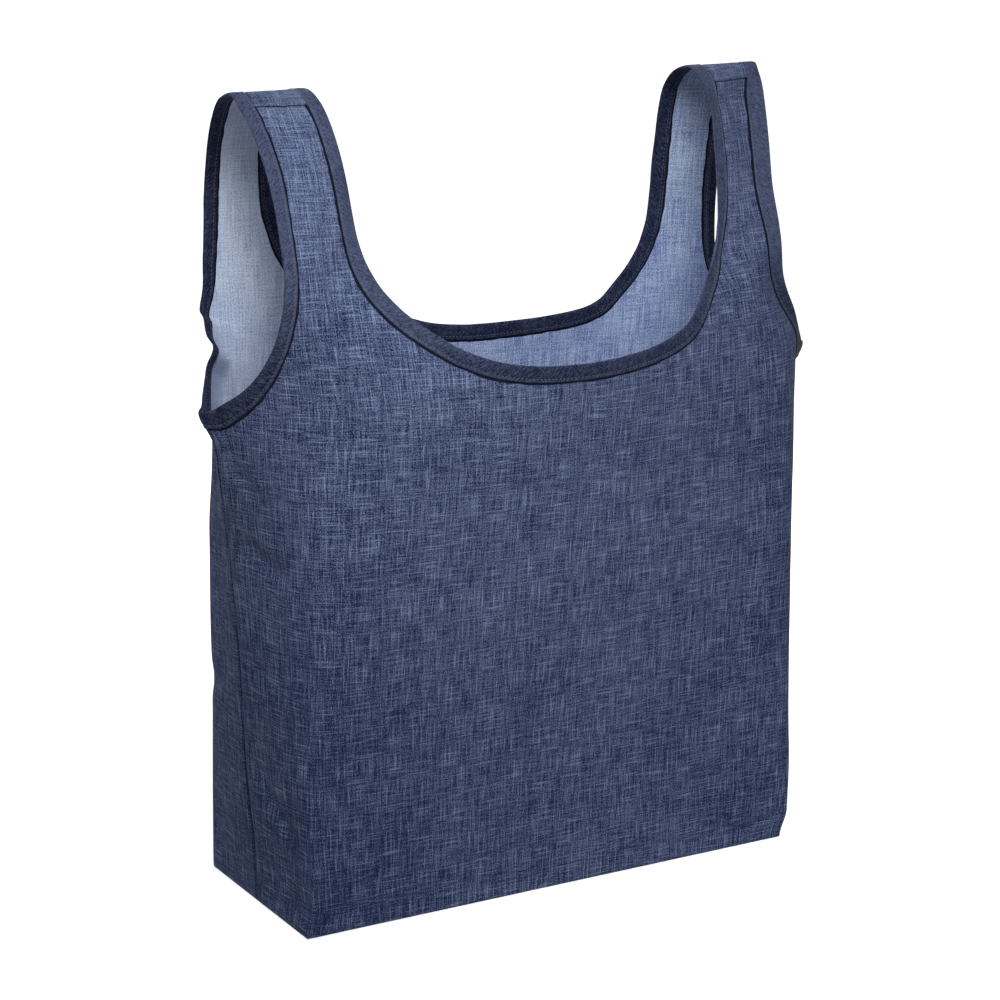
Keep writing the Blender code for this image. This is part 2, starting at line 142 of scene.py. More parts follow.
class Half:
    """Half of a panel, which turns places on the flat cloth into places in space."""

    def __init__(self, shape, side, facing, neck, edge, seam, spout, creases, hollow=0.0, rim=0.0):
        """The edge pair moves the table's corner out and in, and the seam pair its seam out and back."""
        self.side, self.facing, self.neck = side, facing, neck
        self.edge_out, self.edge_in = edge
        self.seam_out, self.seam_back = seam
        self.spout, self.creases = spout, creases
        self.hollow, self.rim = hollow, rim
        self.rows = [row[0] for row in shape]
        self.values = [(row[1], row[2], *row[3], *row[4], *row[5]) for row in shape]
        self.crest = self.rows[-2]

    def smooth(self, out, up):
        """The cloth without its creases."""
        out, up = np.broadcast_arrays(np.asarray(out, float), np.asarray(up, float))
        row = through(self.rows, self.values, up)
        points = np.zeros(out.shape + (4, 2))
        points[..., 0, 1] = row[..., 1]
        points[..., 1, :] = row[..., 2:4]
        points[..., 2, :] = row[..., 4:6]
        points[..., 3, :] = row[..., 6:8]
        points[..., 2, 0] += self.edge_out * ease(0.0, 0.02, up) * (1 - ease(0.36, 0.42, up))
        points[..., 2, 1] -= self.edge_in * ease(0.0, 0.12, up) * (1 - ease(0.30, 0.42, up))
        points[..., 3, 0] += self.seam_out * ease(0.05, 0.30, up)
        points[..., 3, 1] += self.facing * self.seam_back * ease(0.02, 0.12, up) * (1 - ease(0.26, 0.34, up))
        knots = np.array([0, STRAP_INNER, CORNER, SIDE_SEAM])
        turn = np.empty_like(points)
        turn[..., 0, 0] = points[..., 1, 0] / knots[1]
        turn[..., 0, 1] = 0
        for j in (1, 2):
            turn[..., j, :] = (points[..., j + 1, :] - points[..., j - 1, :]) / (knots[j + 1] - knots[j - 1])
        turn[..., 3, :] = (points[..., 3, :] - points[..., 2, :]) / (knots[3] - knots[2])
        i = np.clip(np.searchsorted(knots, out, side="right") - 1, 0, 2)

        def at_knot(table, which):
            return np.take_along_axis(table, which[..., None, None], axis=-2)[..., 0, :]

        step = (knots[i + 1] - knots[i])[..., None]
        within = np.clip(out, 0, SIDE_SEAM)
        t = (within - knots[i])[..., None] / step
        t2, t3 = t * t, t * t * t
        a, b = at_knot(points, i), at_knot(points, i + 1)
        curved = (
            (2 * t3 - 3 * t2 + 1) * a + (t3 - 2 * t2 + t) * step * at_knot(turn, i)
            + (3 * t2 - 2 * t3) * b + (t3 - t2) * step * at_knot(turn, i + 1)
        )
        past = (out - within)[..., None]
        curved = curved + past * np.where(past < 0, turn[..., 0, :], turn[..., 3, :])
        straight = a + t * (b - a)
        flat = straight + ease(0.0, 0.20, up)[..., None] * (curved - straight)
        # The rim stands out into a spout at the armhole's lowest point
        below, across = ARMHOLE_HEIGHT - up, SIDE_SEAM - out
        along = 0.87 * across - 0.49 * below
        inside = np.maximum(0.49 * across + 0.87 * below, 0)
        flare = self.spout * np.exp(-((along / 0.038) ** 2) - (inside / 0.011) ** 2)
        across, depth = self.side * (flat[..., 0] + flare), self.facing * flat[..., 1]
        return np.stack([across, depth, row[..., 0] + 0.3 * flare], axis=-1)

    def outward(self, out, up):
        step = 0.001
        across = self.smooth(out + step, up) - self.smooth(out - step, up)
        along = self.smooth(out, up + step) - self.smooth(out, up - step)
        return unit(np.cross(across, along)) * (-self.side * self.facing)

    def crease(self, out, up):
        """How far the creases and the slack of the cloth lift it off its smooth shape."""
        across = self.side * out
        lift = np.zeros(out.shape)
        for line, height, low_reach, high_reach in self.creases:
            line = np.asarray(line)
            nearest = np.full(out.shape, 1e9)
            best, above = np.zeros(out.shape), np.zeros(out.shape)
            total = len(line) - 1
            for n in range(total):
                start, run = line[n], line[n + 1] - line[n]
                share = ((across - start[0]) * run[0] + (up - start[1]) * run[1]) / (run @ run)
                kept = np.clip(share, 0, 1)
                dx = across - start[0] - kept * run[0]
                dy = up - start[1] - kept * run[1]
                away = np.hypot(dx, dy)
                nearer = away < nearest
                nearest = np.where(nearer, away, nearest)
                best = np.where(nearer, (n + kept) / total, best)
                above = np.where(nearer, dy, above)
            reach = np.where(above > 0, high_reach, low_reach)
            ends = ease(0, 0.25, best) * (1 - ease(0.75, 1, best))
            lift += height * np.exp(-((nearest / reach) ** 2)) * (0.25 + 0.75 * ends)
        flat = np.stack([across.ravel(), up.ravel()], axis=1)
        slack = [
            0.0016 * noise.noise((x * 13, y * 7, 3.1 * self.facing))
            + 0.0007 * noise.noise((x * 34, y * 19, 7.7 * self.facing))
            for x, y in flat
        ]
        calm = ease(0.0, 0.05, up) * (1 - ease(self.crest - 0.03, self.crest - 0.002, up))
        calm = calm * (1 - ease(SIDE_SEAM - 0.020, SIDE_SEAM - 0.004, out))
        return (lift + np.array(slack).reshape(out.shape)) * calm + self.strap_curl(out, up)

    def strap_curl(self, out, up):
        """The strap hollows between its two tapes, and its armhole rim rolls a little outwards."""
        below_crest = 1 - ease(self.crest - 0.035, self.crest - 0.005, up)
        neck, arm = np.asarray(self.neck), np.asarray(ARMHOLE)
        in_from_neck = np.clip((out - np.interp(up, neck[:, 1], neck[:, 0])) / 0.051, 0, 1)
        hollow = self.hollow * np.sin(np.pi * in_from_neck ** 0.6) * ease(0.405, 0.445, up)
        in_from_arm = np.interp(up, arm[:, 1], arm[:, 0]) - out
        rolled = 0.0035 * np.exp(-((in_from_arm / 0.005) ** 2))
        sunk = 0.003 * np.exp(-(((in_from_arm - 0.0105) / 0.014) ** 2))
        return (self.rim * (rolled - sunk) * ease(0.37, 0.40, up) - hollow) * below_crest

    def at(self, out, up, rise=0.0):
        """A place on the creased cloth, or off its middle by the rise."""
        out, up = np.broadcast_arrays(np.asarray(out, float), np.asarray(up, float))
        place = self.smooth(out, up) + self.outward(out, up) * (self.crease(out, up) + rise)[..., None]
        place[..., 2] += CLOTH / 2
        # The side seam draws in as a groove
        groove = 0.0022 * np.exp(-(((SIDE_SEAM - out) / 0.0028) ** 2))
        place[..., 0] -= self.side * groove * ease(0.01, 0.05, up) * (1 - ease(0.325, 0.345, up))
        return place


def lengths_along(line):
    """The distance from a line's first place to each of its places."""
    return np.concatenate([[0], np.cumsum(np.linalg.norm(np.diff(line, axis=0), axis=1))])


def along_edge(edge, half, share):
    """Places along a cut edge, 0 at its lowest point and 1 at the strap's crest."""
    last = edge[-1][1]
    flat = np.array([(x, y + (half.crest - last) * float(ease(0.48, last, y))) for x, y in edge])
    reach = lengths_along(flat)
    return through(reach, flat, np.asarray(share, float) * reach[-1])


def lay_grid(name, columns, rows):
    """A flat grid, with the column and the row that each of its points lies in."""
    bpy.ops.mesh.primitive_grid_add(x_subdivisions=columns, y_subdivisions=rows, size=1)
    made = bpy.context.object
    made.name = name
    places = np.empty(len(made.data.vertices) * 3)
    made.data.vertices.foreach_get("co", places)
    share = places.reshape(-1, 3) + 0.5
    return made, np.round(share[:, 0] * columns).astype(int), np.round(share[:, 1] * rows).astype(int)


def lay_half(name, half):
    """Half a panel: a grid shaped to the cut cloth, then stood up where it belongs."""
    columns, rows = FRONT_COLUMNS + SIDE_COLUMNS, BODY_ROWS + STRAP_ROWS
    made, j, i = lay_grid(name, columns, rows)
    share = np.clip((i - BODY_ROWS) / STRAP_ROWS, 0, 1)
    inner, outer = along_edge(half.neck, half, share), along_edge(ARMHOLE, half, share)
    low = np.clip(i / BODY_ROWS, 0, 1)
    inner[:, 1] *= low
    outer[:, 1] *= low
    spread = ease(0.6 * BODY_ROWS, BODY_ROWS + 0.3 * STRAP_ROWS, i)
    middle = CORNER + (inner[:, 0] + (outer[:, 0] - inner[:, 0]) * 8 / 13 - CORNER) * spread
    out = np.where(
        j <= FRONT_COLUMNS,
        inner[:, 0] + (middle - inner[:, 0]) * j / FRONT_COLUMNS,
        middle + (outer[:, 0] - middle) * (j - FRONT_COLUMNS) / SIDE_COLUMNS,
    )
    up = inner[:, 1] + (outer[:, 1] - inner[:, 1]) * (out - inner[:, 0]) / (outer[:, 0] - inner[:, 0])
    stood = half.at(out, up)
    gap = np.where((j == columns) & (i <= BODY_ROWS), SEAM_GAP + 0.0003 * ease(0, 0.3, up), 0)
    stood[:, 1] += half.facing * np.where(i == rows, SEAM_GAP, gap)
    made.data.vertices.foreach_set("co", stood.ravel())
    write_flat(made.data, np.stack([half.side * out, up], axis=1))
    if half.side * half.facing > 0:
        made.data.flip_normals()
    return made


def write_flat(mesh, flat):
    """Keeps where each corner of a face lay on the uncut cloth, in metres, for the weave."""
    corners = np.empty(len(mesh.loops), np.int32)
    mesh.loops.foreach_get("vertex_index", corners)
    mesh.uv_layers[0].name = "Cloth"
    mesh.uv_layers[0].data.foreach_set("uv", flat[corners].ravel().astype(np.float32))


def lay_base(name, facing):
    """Half of the flat base, from the lower fold in to the seam under the middle."""
    columns, rows = 2 * FRONT_COLUMNS, SIDE_COLUMNS
    made, j, i = lay_grid(name, columns, rows)
    seam = facing * BASE_SEAM
    depth = seam + (FLOOR - seam) * i / rows
    depth[i == 0] += SEAM_GAP
    across = (j / columns - 0.5) * BAG_WIDTH
    write_flat(made.data, np.stack([across, depth - FLOOR], axis=1))
    stood = np.stack([across, facing * depth, np.full(len(depth), CLOTH / 2)], axis=1)
    made.data.vertices.foreach_set("co", stood.ravel())
    if facing > 0:
        made.data.flip_normals()
    return made


def join(name, parts):
    """Joins parts into one mesh and closes the lines where they share an edge."""
    bpy.ops.object.select_all(action="DESELECT")
    for part in parts:
        part.select_set(True)
    bpy.context.view_layer.objects.active = parts[0]
    bpy.ops.object.join()
    made = bpy.context.object
    made.name = name
    bpy.ops.object.mode_set(mode="EDIT")
    bpy.ops.mesh.select_all(action="SELECT")
    bpy.ops.mesh.remove_doubles(threshold=0.00005)
    bpy.ops.mesh.select_all(action="DESELECT")
    bpy.ops.object.mode_set(mode="OBJECT")
    return made


def thicken(made, thickness):
    """Gives a sheet its thickness, half to each side; the inner face takes the second material."""
    bpy.ops.object.select_all(action="DESELECT")
    made.select_set(True)
    bpy.context.view_layer.objects.active = made
    bpy.ops.object.shade_smooth_by_angle(angle=math.radians(50))
    thick = made.modifiers.new("Thickness", "SOLIDIFY")
    thick.thickness = thickness
    thick.offset = 0
    thick.material_offset = 1
    thick.use_rim = True
    bpy.ops.object.modifier_apply(modifier=thick.name)


class Wire:
    """One value in a material's node tree; arithmetic on wires adds the Math nodes."""

    def __init__(self, tree, socket=None):
        self.tree, self.socket = tree, socket

    def node(self, kind, settings, sockets, out=0):
        made = self.tree.nodes.new(kind)
        for name, value in settings.items():
            setattr(made, name, value)
        for name, value in sockets.items():
            if isinstance(value, Wire):
                self.tree.links.new(value.socket, made.inputs[name])
            else:
                made.inputs[name].default_value = value
        return Wire(self.tree, made.outputs[out])

    def math(self, operation, a, b, clamp=False):
        return self.node("ShaderNodeMath", {"operation": operation, "use_clamp": clamp}, {0: a, 1: b})

    def __add__(self, other):
        return self.math("ADD", self, other)

    def __radd__(self, other):
        return self.math("ADD", other, self)

    def __sub__(self, other):
        return self.math("SUBTRACT", self, other)

    def __rsub__(self, other):
        return self.math("SUBTRACT", other, self)

    def __mul__(self, other):
        return self.math("MULTIPLY", self, other)

    def __rmul__(self, other):
        return self.math("MULTIPLY", other, self)

    def __abs__(self):
        return self.math("ABSOLUTE", self, 0.0)

    def kept(self):
        """The value held between 0 and 1."""
        return self.math("ADD", self, 0.0, clamp=True)

    def between(self, low, high):
        """0 below low and 1 above high."""
        settings = {"interpolation_type": "SMOOTHSTEP"}
        return self.node("ShaderNodeMapRange", settings, {"Value": self, "From Min": low, "From Max": high})

    def blend(self, dark, light):
        """A colour from dark to light, by this value."""
        settings = {"data_type": "RGBA"}
        return self.node("ShaderNodeMix", settings, {0: self, 6: dark, 7: light}, 2)

    def part(self, axis):
        """One of a vector's three numbers."""
        return self.node("ShaderNodeSeparateXYZ", {}, {0: self}, axis)

    def feed(self, shader, name):
        """Leads this value into one of the shader's sockets."""
        self.tree.links.new(self.socket, shader.inputs[name])

    def slubs(self, width, length, seed, detail=1.0):
        """Noise on the flat cloth, drawn out to this width across and length up, in metres."""
        scaled = self.node(
            "ShaderNodeVectorMath", {"operation": "MULTIPLY_ADD"},
            {0: self, 1: (1 / width, 1 / length, 1), 2: (seed, seed * 1.7, seed)},
        )
        return self.node(
            "ShaderNodeTexNoise", {"noise_dimensions": "2D"},
            {"Vector": scaled, "Scale": 1.0, "Detail": detail, "Roughness": 0.6},
        ) - 0.5


def cloth_finish(name, roughness):
    """A new material, its shader and the flat cloth's coordinates."""
    made = bpy.data.materials.new(name)
    made.use_nodes = True
    shader = made.node_tree.nodes["Principled BSDF"]
    shader.inputs["Metallic"].default_value = 0
    shader.inputs["Roughness"].default_value = roughness
    shader.inputs["Specular IOR Level"].default_value = 0.12
    flat = Wire(made.node_tree).node("ShaderNodeUVMap", {"uv_map": "Cloth"}, {}, "UV")
    return made, shader, flat


def raise_threads(shader, height, distance, strength=0.5):
    """Bump from the threads' height."""
    bump = height.node(
        "ShaderNodeBump", {}, {"Height": height, "Distance": distance, "Strength": strength}, "Normal"
    )
    bump.feed(shader, "Normal")


def printed_face(name, seed, dark, light):
    """Blue print of crossed slubs: fine light streaks both ways on a speckled ground, with painted highlight
    on the straps and painted shade low down, at the sides and in the side seams.
    """
    made, shader, flat = cloth_finish(name, 0.85)
    upright = flat.slubs(0.0008, 0.018, seed)
    level = flat.slubs(0.014, 0.0008, seed + 11)
    broad_up = flat.slubs(0.0024, 0.050, seed + 17)
    broad_level = flat.slubs(0.036, 0.0024, seed + 19)
    speckle = flat.slubs(0.0009, 0.0009, seed + 23)
    clouds = flat.slubs(0.070, 0.055, seed + 31, 2.0)
    bright_up = flat.slubs(0.0010, 0.022, seed + 53, 0.0).between(0.17, 0.28)
    bright_level = flat.slubs(0.024, 0.0010, seed + 67, 0.0).between(0.17, 0.28)
    tone = 0.275 + upright * 0.75 + level * 0.60 + speckle * 1.30 + clouds * 0.20
    tone = tone + broad_up * 0.28 + broad_level * 0.22 + bright_up * 0.34 + bright_level * 0.30
    out, up = flat.part("X"), flat.part("Y")
    # Painted highlight on the straps, stronger on the left, where they face the lamp
    strap_painted_highlight = up.between(0.40, 0.50) * (0.16 - 0.05 * out.between(-0.05, 0.05))
    # Painted shade towards the bottom, deeper on the left
    low = (1 - up.between(0.02, 0.30)) * (0.08 + 0.07 * (1 - out.between(-0.20, -0.05)))
    # Painted shade towards both sides
    side_painted_shade = abs(out).between(0.06, 0.20) * 0.05
    # Painted shade along the side seams
    seam_painted_shade = abs(out).between(SIDE_SEAM - 0.0030, SIDE_SEAM - 0.0002) * 0.25
    tone = (tone + strap_painted_highlight - (side_painted_shade + low + seam_painted_shade)).kept()
    tone.blend(dark, light).feed(shader, "Base Color")
    raise_threads(shader, upright * 0.6 + level * 0.6 + speckle * 0.8, 0.0004)
    return made


def pale_face(name, seed, dark, light):
    """The unprinted reverse: pale blue, finely speckled, with whitish slubs both ways and soft clouds, and
    painted light over its left outer part and high on the straps.
    """
    made, shader, flat = cloth_finish(name, 0.88)
    upright = flat.slubs(0.0010, 0.026, seed)
    level = flat.slubs(0.018, 0.0010, seed + 13)
    speckle = flat.slubs(0.0009, 0.0009, seed + 29)
    clouds = flat.slubs(0.030, 0.045, seed + 37, 2.0)
    # Painted light: lighter over the left outer part and higher up the straps
    painted_light_left_and_high = 0.40 - 0.40 * flat.part("X").between(-0.17, -0.08) + flat.part("Y").between(0.42, 0.50) * 0.12
    tone = (0.25 + upright * 0.60 + level * 0.45 + speckle * 1.10 + clouds * 0.40 + painted_light_left_and_high).kept()
    tone.blend(dark, light).feed(shader, "Base Color")
    raise_threads(shader, upright * 0.6 + level * 0.6 + speckle * 0.6, 0.0003)
    return made


print_dark, print_light = (0.003, 0.009, 0.047, 1), (0.184, 0.232, 0.374, 1)
pale_dark, pale_light = (0.080, 0.130, 0.320, 1), (0.660, 0.745, 0.880, 1)

left_front = Half(
    FRONT_SHAPE, -1, -1, LEFT_FRONT_NECK, (-0.005, 0.002), (-0.008, 0.008), LEFT_SPOUT, FRONT_CREASES,
)
right_front = Half(
    FRONT_SHAPE, 1, -1, RIGHT_FRONT_NECK, (0.006, 0.0), (0.005, 0.0), RIGHT_SPOUT, FRONT_CREASES,
    hollow=0.006, rim=1.0,
)
front_cloth = join("front_cloth", [
    lay_half("left_front", left_front), lay_half("right_front", right_front), lay_base("front_base", -1),
])
front_cloth.data.materials.append(printed_face("Printed front", 3.0, print_dark, print_light))
front_cloth.data.materials.append(pale_face("Front reverse", 5.0, pale_dark, pale_light))
thicken(front_cloth, CLOTH)
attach(front_cloth, "root")
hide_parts("front_panel")


# Back cloth: the same thin polyester, cut with the back halves of both straps.
# Its straps stand a little differently left and right. It meets the front cloth
# at the side seams, under the base and on top of the straps.
BACK_LEFT_SHAPE = [
    (0.000, 0.0000, FLOOR, (STRAP_INNER, FLOOR), (CORNER, FLOOR), (CORNER, BASE_SEAM)),
    (0.060, 0.0600, 0.075, (0.150, 0.076), (0.196, 0.074), (0.199, 0.002)),
    (0.150, 0.1500, 0.070, (0.149, 0.075), (0.1955, 0.071), (0.208, -0.004)),
    (0.250, 0.2500, 0.063, (0.149, 0.072), (0.195, 0.067), (0.215, 0.004)),
    (0.350, 0.3500, 0.053, (0.148, 0.064), (0.190, 0.058), (0.237, -0.010)),
    (0.384, 0.3840, 0.049, (0.148, 0.057), (0.191, 0.057), (0.239, -0.011)),
    (0.415, 0.4150, 0.050, (0.147, 0.054), (0.192, 0.063), (0.237, 0.042)),
    (0.445, 0.4450, 0.050, (0.147, 0.055), (0.193, 0.068), (0.242, 0.070)),
    (0.480, 0.4800, 0.050, (0.149, 0.058), (0.192, 0.069), (0.250, 0.078)),
    (0.514, 0.5120, 0.050, (0.150, 0.056), (0.193, 0.060), (0.260, 0.060)),
    (0.548, 0.5420, 0.040, (0.151, 0.042), (0.195, 0.041), (0.268, 0.040)),
    (0.575, 0.5590, 0.020, (0.152, 0.019), (0.197, 0.018), (0.271, 0.017)),
    (0.595, STRAP_TOP, 0.000, (0.152, 0.000), (0.197, 0.000), (0.272, 0.000)),
    (0.612, 0.5570, -0.017, (0.152, -0.017), (0.197, -0.013), (0.272, -0.010)),
]
BACK_RIGHT_SHAPE = [
    (0.000, 0.0000, FLOOR, (STRAP_INNER, FLOOR), (CORNER, FLOOR), (CORNER, BASE_SEAM)),
    (0.060, 0.0600, 0.075, (0.150, 0.075), (0.196, 0.074), (0.199, 0.002)),
    (0.150, 0.1500, 0.070, (0.150, 0.070), (0.194, 0.067), (0.208, -0.004)),
    (0.250, 0.2500, 0.063, (0.150, 0.063), (0.192, 0.058), (0.216, 0.004)),
    (0.350, 0.3500, 0.053, (0.151, 0.052), (0.194, 0.043), (0.237, -0.010)),
    (0.384, 0.3840, 0.049, (0.152, 0.050), (0.193, 0.038), (0.239, -0.011)),
    (0.415, 0.4150, 0.050, (0.153, 0.051), (0.192, 0.035), (0.235, 0.016)),
    (0.445, 0.4450, 0.050, (0.153, 0.052), (0.194, 0.033), (0.241, 0.030)),
    (0.480, 0.4800, 0.050, (0.153, 0.051), (0.195, 0.031), (0.251, 0.028)),
    (0.512, 0.5120, 0.046, (0.154, 0.047), (0.196, 0.028), (0.261, 0.025)),
    (0.545, 0.5430, 0.038, (0.154, 0.038), (0.197, 0.023), (0.269, 0.020)),
    (0.566, 0.5590, 0.020, (0.153, 0.019), (0.197, 0.012), (0.271, 0.010)),
    (0.581, STRAP_TOP, 0.000, (0.152, 0.000), (0.197, 0.000), (0.272, 0.000)),
    (0.596, 0.5570, -0.014, (0.152, -0.014), (0.197, -0.014), (0.272, -0.012)),
]
LEFT_BACK_NECK = [
    (0.000, 0.3824), (0.009, 0.3832), (0.018, 0.3842), (0.027, 0.3856), (0.035, 0.3874), (0.044, 0.3902),
    (0.055, 0.3941), (0.068, 0.3988), (0.082, 0.4038), (0.096, 0.4096), (0.109, 0.4160), (0.121, 0.4236),
    (0.1305, 0.4325), (0.1385, 0.4430), (0.1435, 0.4540), (0.1475, 0.4760), (0.1485, 0.5000),
    (0.149, 0.5300), (0.149, 0.5600), (0.149, 0.5770),
]
RIGHT_BACK_NECK = [
    (0.000, 0.3824), (0.025, 0.3818), (0.050, 0.3818), (0.074, 0.3828), (0.095, 0.3850), (0.109, 0.3900),
    (0.120, 0.4000), (0.134, 0.4150), (0.144, 0.4320), (0.1495, 0.4520), (0.151, 0.4760),
    (0.151, 0.5000), (0.1505, 0.5300), (0.1495, 0.5600), (0.149, 0.5770),
]
BACK_CREASES = [
    ([(-0.262, 0.345), (-0.252, 0.315), (-0.232, 0.292)], -0.0030, 0.007, 0.008),
    ([(-0.255, 0.180), (-0.225, 0.150), (-0.190, 0.140)], -0.0020, 0.007, 0.011),
    ([(0.262, 0.342), (0.245, 0.312), (0.220, 0.294)], -0.0025, 0.007, 0.009),
    ([(0.195, 0.060), (0.178, 0.120), (0.170, 0.200)], -0.0018, 0.008, 0.010),
    ([(-0.120, 0.330), (-0.080, 0.285), (-0.030, 0.262)], -0.0012, 0.009, 0.013),
    ([(-0.232, 0.424), (-0.205, 0.410), (-0.178, 0.398)], 0.0034, 0.004, 0.012),
    ([(-0.240, 0.400), (-0.212, 0.384), (-0.180, 0.368)], -0.0042, 0.009, 0.006),
    ([(-0.204, 0.500), (-0.180, 0.478), (-0.150, 0.462)], -0.0016, 0.008, 0.012),
    ([(0.208, 0.500), (0.180, 0.485), (0.148, 0.478)], -0.0014, 0.008, 0.011),
]

left_back = Half(
    BACK_LEFT_SHAPE, -1, 1, LEFT_BACK_NECK, (0.0, 0.0), (-0.008, 0.008), LEFT_SPOUT, BACK_CREASES,
)
right_back = Half(
    BACK_RIGHT_SHAPE, 1, 1, RIGHT_BACK_NECK, (0.002, 0.0), (0.005, 0.0), RIGHT_SPOUT, BACK_CREASES,
)
back_cloth = join("back_cloth", [
    lay_half("left_back", left_back), lay_half("right_back", right_back), lay_base("back_base", 1),
])
back_cloth.data.materials.append(printed_face("Printed back", 71.0, print_dark, print_light))
back_cloth.data.materials.append(pale_face("Back reverse", 83.0, pale_dark, pale_light))
thicken(back_cloth, CLOTH)
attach(back_cloth, "root")
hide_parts("back_panel")


# Neck tape: a strip of navy cloth cut on the bias, folded in half lengthwise
# over the cut edge of the neck and of both straps' inner edges, and sewn
# through. It puckers a little between the stitches.
TAPE_WIDTH = 0.0097
TAPE = 0.0005
# Across the tape, from the outer hem over the edge to the inner hem: reach in
# from the edge, and how far its middle stands off the middle of the cloth
TAPE_FOLD = [
    (TAPE_WIDTH, 0.00082), (0.0092, 0.00100), (0.0084, 0.00098), (0.0076, 0.00066), (0.0068, 0.00084),
    (0.0050, 0.00100), (0.0026, 0.00098), (0.0008, 0.00088), (-0.0004, 0.00060), (-0.0009, 0.00000),
    (-0.0004, -0.00060), (0.0008, -0.00088), (0.0026, -0.00098), (0.0050, -0.00100), (0.0068, -0.00084),
    (0.0076, -0.00066), (0.0084, -0.00098), (0.0092, -0.00100), (TAPE_WIDTH, -0.00082),
]
# Half the strip's width before folding: from the fold's middle to a hem
FOLD_HALF = 0.0113


def inward_from(edge, half, share, turn):
    """The direction on the flat cloth from its cut edge into the cloth."""
    before, after = (np.clip(share + step, 0, 1) for step in (-0.004, 0.004))
    along = along_edge(edge, half, after) - along_edge(edge, half, before)
    square = unit(np.stack([turn * along[:, 1], -turn * along[:, 0]], axis=1))
    low, high = 1 - ease(0, 0.02, share), ease(0.98, 1, share)
    start, end = np.array([0.0, -1.0]), np.array([float(turn), 0.0])
    return unit(square * (1 - low - high)[:, None] + low[:, None] * start + high[:, None] * end)


def tape_run(half, edge, turn, stations, fold, wander=0.0):
    """Tape from the lowest point of a cut edge to the crest of the strap: (stations, across, 3)."""
    share = np.linspace(0, 1, stations)
    line = along_edge(edge, half, share)
    inward = inward_from(edge, half, share, turn)
    reach = np.array([part[0] for part in fold])
    rise = np.array([part[1] for part in fold])
    length = lengths_along(line)
    seed = 5.3 * half.side + 2.1 * half.facing + turn
    drift = np.array([noise.noise((s / 0.009, seed, 9.0)) for s in length])
    reach = reach + wander * np.outer(drift, reach > TAPE_WIDTH)
    out = line[:, :1] + inward[:, :1] * reach
    up = line[:, 1:] + inward[:, 1:] * reach
    pucker = np.array([
        noise.noise((s / 0.006, seed, 0.0)) + 0.6 * noise.noise((s / 0.0028, seed, 4.0)) for s in length
    ])
    calm = ease(0, 0.015, share) * (1 - ease(0.985, 1, share))
    swell = 0.00022 * (pucker * calm)[:, None] * np.sin(np.pi * np.clip(reach / TAPE_WIDTH, 0, 1)) ** 0.7
    return half.at(out, up, rise + np.sign(rise) * swell)


def tape_ring(pairs, fold, wander=0.0):
    """One ring of sections: the runs of each pair go up one half of the cloth and down the next."""
    laid = [[tape_run(*run, fold, wander) for run in pair] for pair in pairs]
    ring = []
    for n, (rising, falling) in enumerate(laid):
        crest = (rising[-1] + falling[-1]) / 2
        low = (falling[0] + laid[(n + 1) % len(laid)][0][0]) / 2
        ring += [rising[1:-1], crest[None], falling[1:-1][::-1], low[None]]
    return np.concatenate(ring)


def lay_tape(name, ring, look, thickness=TAPE):
    """A ring of tape from its sections, thickened, its bias weave laid along it."""
    stations, across = ring.shape[:2]
    made, a, s = lay_grid(name, across - 1, stations)
    made.data.vertices.foreach_set("co", ring[s % stations, a].ravel())
    middle = ring[:, across // 2]
    length = lengths_along(np.concatenate([middle, middle[:1]]))[s]
    width = lengths_along(ring[stations // 3])[a]
    bias = math.sqrt(0.5)
    write_flat(made.data, np.stack([(length + width) * bias, (length - width) * bias], axis=1))
    bpy.ops.object.mode_set(mode="EDIT")
    bpy.ops.mesh.select_all(action="SELECT")
    bpy.ops.mesh.remove_doubles(threshold=0.000005)
    bpy.ops.mesh.normals_make_consistent(inside=False)
    bpy.ops.object.mode_set(mode="OBJECT")
    made.data.materials.append(look)
    thicken(made, thickness)
    return made


def bias_tape(name, seed, dark, light):
    """Navy tape: its weave crosses it at 45 degrees; its hems rise beyond the stitched grooves, with painted
    highlight on the hems, painted shade in the grooves and painted light on its upper front.
    """
    made, shader, flat = cloth_finish(name, 0.80)
    one_way = flat.slubs(0.0008, 0.0055, seed)
    other_way = flat.slubs(0.0055, 0.0008, seed + 7)
    speckle = flat.slubs(0.0008, 0.0008, seed + 17)
    uneven = flat.slubs(0.025, 0.025, seed + 29, 2.0)
    reach = abs((flat.part("X") - flat.part("Y")) * math.sqrt(0.5) - FOLD_HALF)
    # Painted highlight on the raised hems
    ridge_painted_highlight = reach.between(FOLD_HALF - 0.0019, FOLD_HALF - 0.0014)
    # Painted shade in the stitched grooves
    groove = reach.between(FOLD_HALF - 0.0030, FOLD_HALF - 0.0024) * (1 - ridge_painted_highlight)
    rubbed = 1 - reach.between(0.0002, 0.0016)
    place = flat.node("ShaderNodeTexCoord", {}, {}, "Object")
    in_front = 1 - place.part("Y").between(-0.005, 0.015)
    # Painted light on the tape's upper front, where it faces the lamp
    front_painted_light = in_front * 0.30 * place.part("Z").between(0.36, 0.46)
    tone = 0.10 + one_way * 0.75 + other_way * 0.40 + speckle * 0.65 + uneven * 0.25 + front_painted_light
    tone = (tone + ridge_painted_highlight * 0.12 - groove * 0.10 + rubbed * 0.05).kept()
    tone.blend(dark, light).feed(shader, "Base Color")
    raise_threads(shader, one_way * 0.7 + other_way * 0.7 + speckle * 0.7, 0.0004)
    return made


